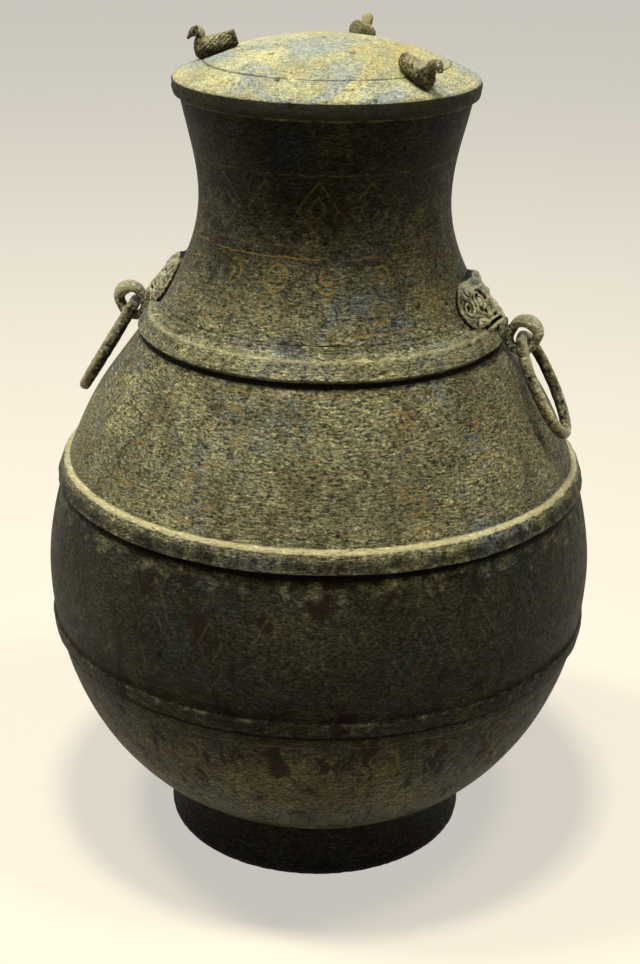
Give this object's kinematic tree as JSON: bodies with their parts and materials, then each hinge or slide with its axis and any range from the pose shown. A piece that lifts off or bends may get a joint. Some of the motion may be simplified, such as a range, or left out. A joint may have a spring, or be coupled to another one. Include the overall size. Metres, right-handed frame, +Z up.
{
  "type": "bronze hu vessel",
  "caption": "Lidded bronze wine vessel with a round belly on a foot ring, raised bands, animal masks carrying free rings, and small ducks on the lid.",
  "frame": {"origin": "centre of the foot ring's flat base, on the vessel's axis", "axes": "+Z up the vessel's axis; +X and -X point at the two animal masks with their rings; the picture is taken from the -Y side, 14 degrees towards +X"},
  "size_m": [0.2648, 0.2646, 0.3945],
  "materials": {
    "bronze_body": "dark grey-olive patina, worn and scratched, with traces of copper-coloured inlay",
    "bronze_foot": "very dark patina",
    "bronze_mask": "grey patina with worn high points",
    "bronze_ring": "patina rubbed to olive-yellow",
    "bronze_lid": "yellow-olive and blue-grey mottled patina",
    "bronze_duck": "dark patina with worn edges"
  },
  "bodies": {
    "vessel": {"vessel_body": "bronze_body", "foot_ring": "bronze_foot", "mask_left": "bronze_mask", "mask_right": "bronze_mask"},
    "lid_group": {"lid": "bronze_lid", "duck_back": "bronze_duck", "duck_left": "bronze_duck", "duck_right": "bronze_duck"},
    "left_ring": {"ring_left": "bronze_ring"},
    "right_ring": {"ring_right": "bronze_ring"}
  },
  "joints": [
    {"name": "lid_lift", "type": "slide", "parent": "vessel", "child": "lid_group", "axis": [0, 0, 1], "range_m": [0, 0.08]},
    {"name": "left_ring_swing", "type": "hinge", "parent": "vessel", "child": "left_ring", "pos_m": [-0.0942, 0, 0.2603], "axis": [0, 1, 0], "range_deg": [0, 178]},
    {"name": "right_ring_swing", "type": "hinge", "parent": "vessel", "child": "right_ring", "pos_m": [0.0942, 0, 0.2603], "axis": [0, -1, 0], "range_deg": [0, 178]}
  ]
}
